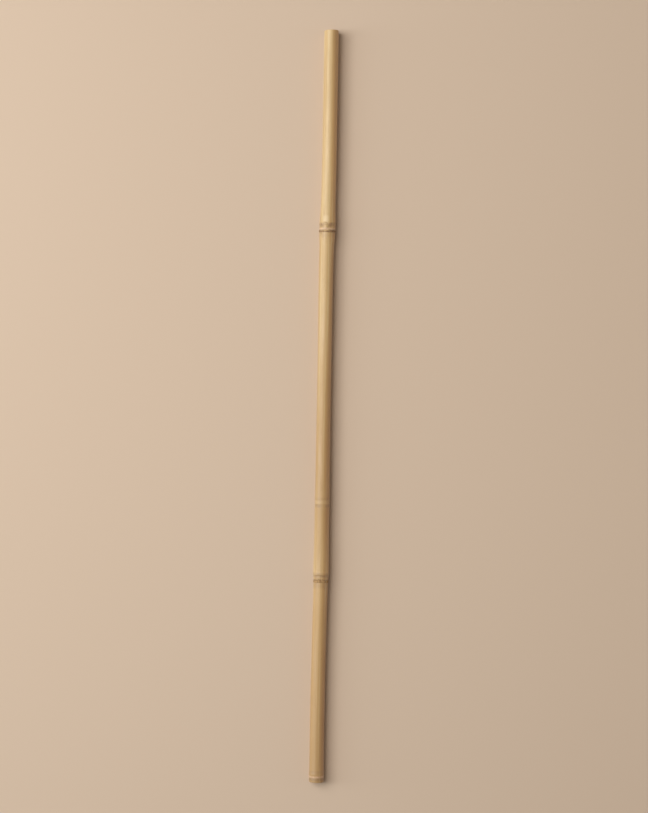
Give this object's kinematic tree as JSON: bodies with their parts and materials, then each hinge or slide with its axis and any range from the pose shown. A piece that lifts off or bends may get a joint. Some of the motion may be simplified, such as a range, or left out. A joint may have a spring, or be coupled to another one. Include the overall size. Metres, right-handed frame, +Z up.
{
  "type": "bamboo cane",
  "caption": "Straight cut bamboo cane with ringed, slightly swollen nodes and sawn ends, lying on its side; a stake, prop or craft rod.",
  "frame": {"origin": "on the ground, under the middle of the cane's box", "axes": "+Y runs along the cane from its butt to its top cut, +X is to the right seen from above with the top cut away from the viewer, +Z is up"},
  "size_m": [0.0166, 0.75, 0.0168],
  "materials": {
    "bamboo": "dried bamboo skin: straw yellow turning golden brown towards the butt, satin, with fine lengthwise streaks and darker rings at the nodes"
  },
  "bodies": {
    "root": {"cane": "bamboo"}
  },
  "joints": []
}
